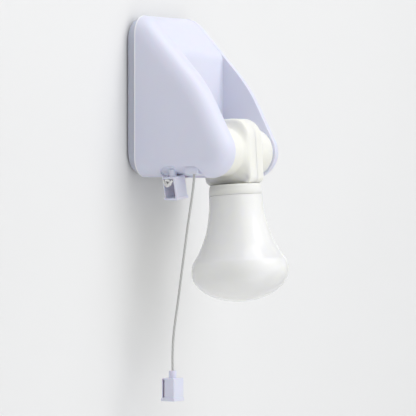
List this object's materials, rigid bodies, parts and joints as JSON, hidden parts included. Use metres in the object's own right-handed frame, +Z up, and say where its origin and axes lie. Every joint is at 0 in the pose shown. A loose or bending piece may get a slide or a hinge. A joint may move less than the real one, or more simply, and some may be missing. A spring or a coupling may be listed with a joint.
{
  "type": "cordless wall lamp",
  "caption": "Cordless battery wall lamp: a two-cheeked plastic housing on a wall plate, a milky bulb that tilts between the cheeks, and a pull-cord switch.",
  "frame": {"origin": "centre of the adhesive pad's back face, on the wall", "axes": "+Z up, +Y into the wall, so the lamp stands out of the wall along -Y; +X to the right for someone facing the wall"},
  "size_m": [0.0773, 0.0903, 0.2379],
  "materials": {
    "housing_plastic": "gloss",
    "plate_plastic": "satin",
    "tray_plastic": "satin",
    "ivory_plastic": "gloss, slightly translucent",
    "globe_plastic": "gloss, milky translucent",
    "pad_foam": "matte foam",
    "steel": "zinc plated",
    "contact_brass": "satin",
    "cell_jacket": "gloss",
    "cord_braid": "twisted, matte",
    "wire_sleeve": "satin",
    "board": "satin",
    "led_lens": "gloss"
  },
  "bodies": {
    "wall_plate": {"wall_plate": "plate_plastic", "adhesive_pad": "pad_foam"},
    "housing": {"housing_shell": "housing_plastic", "battery_tray": "tray_plastic", "tray_screws": "steel", "cell_1": "cell_jacket", "cell_2": "cell_jacket", "cell_3": "cell_jacket", "cell_4": "cell_jacket", "cell_springs": "steel", "cell_contacts": "contact_brass", "switch_base": "tray_plastic", "switch_screws": "steel", "fixed_contacts": "contact_brass", "lever_pin": "steel", "return_spring": "steel", "front_cord_bush": "housing_plastic", "rear_cord_bush": "housing_plastic", "cord_loop": "cord_braid", "stop_knob": "housing_plastic", "stop_knot": "cord_braid", "wires": "wire_sleeve"},
    "lever": {"switch_lever": "tray_plastic", "roller_pin": "steel"},
    "roller": {"lever_roller": "tray_plastic"},
    "rotor": {"ratchet_rotor": "tray_plastic", "moving_contact": "contact_brass"},
    "pull": {"pull_cord": "cord_braid", "pull_knob": "housing_plastic", "pull_knot": "cord_braid"},
    "bulb": {"knuckle_left": "ivory_plastic", "knuckle_right": "ivory_plastic", "knuckle_screws": "steel", "pivot_clips": "steel", "neck_collar": "ivory_plastic", "globe": "globe_plastic", "led_holder": "tray_plastic", "led_board": "board", "leds": "led_lens", "bulb_wires": "wire_sleeve"}
  },
  "joints": [
    {"name": "housing_lift", "type": "slide", "parent": "wall_plate", "child": "housing", "axis": [0, 0, 1], "range_m": [0, 0.012]},
    {"name": "bulb_tilt", "type": "hinge", "parent": "housing", "child": "bulb", "pos_m": [0, -0.055, -0.0348], "axis": [-1, 0, 0], "range_deg": [-14, 116]},
    {"name": "cord_pull", "type": "slide", "parent": "housing", "child": "pull", "axis": [0, 0, -1], "range_m": [0, 0.008], "stiffness_N_per_m": 150, "springref_m": -0.004, "deforming": ["cord_loop"]},
    {"name": "lever_rock", "type": "hinge", "parent": "housing", "child": "lever", "pos_m": [-0.0295, -0.02, -0.028], "axis": [1, 0, 0], "range_deg": [0, 12.5], "deforming": ["return_spring"]},
    {"name": "roller_turn", "type": "hinge", "parent": "lever", "child": "roller", "pos_m": [-0.033, -0.0388, -0.028], "axis": [1, 0, 0], "range_deg": [0, 18]},
    {"name": "rotor_turn", "type": "hinge", "parent": "housing", "child": "rotor", "pos_m": [-0.033, -0.02, -0.028], "axis": [1, 0, 0], "range_deg": [0, 46]}
  ],
  "couplings": [
    {"joint": "lever_rock", "follows": "cord_pull", "rad_per_m": 26.6},
    {"joint": "roller_turn", "follows": "cord_pull", "rad_per_m": 37.9},
    {"joint": "rotor_turn", "follows": "cord_pull", "rad_per_m": 98.17}
  ]
}
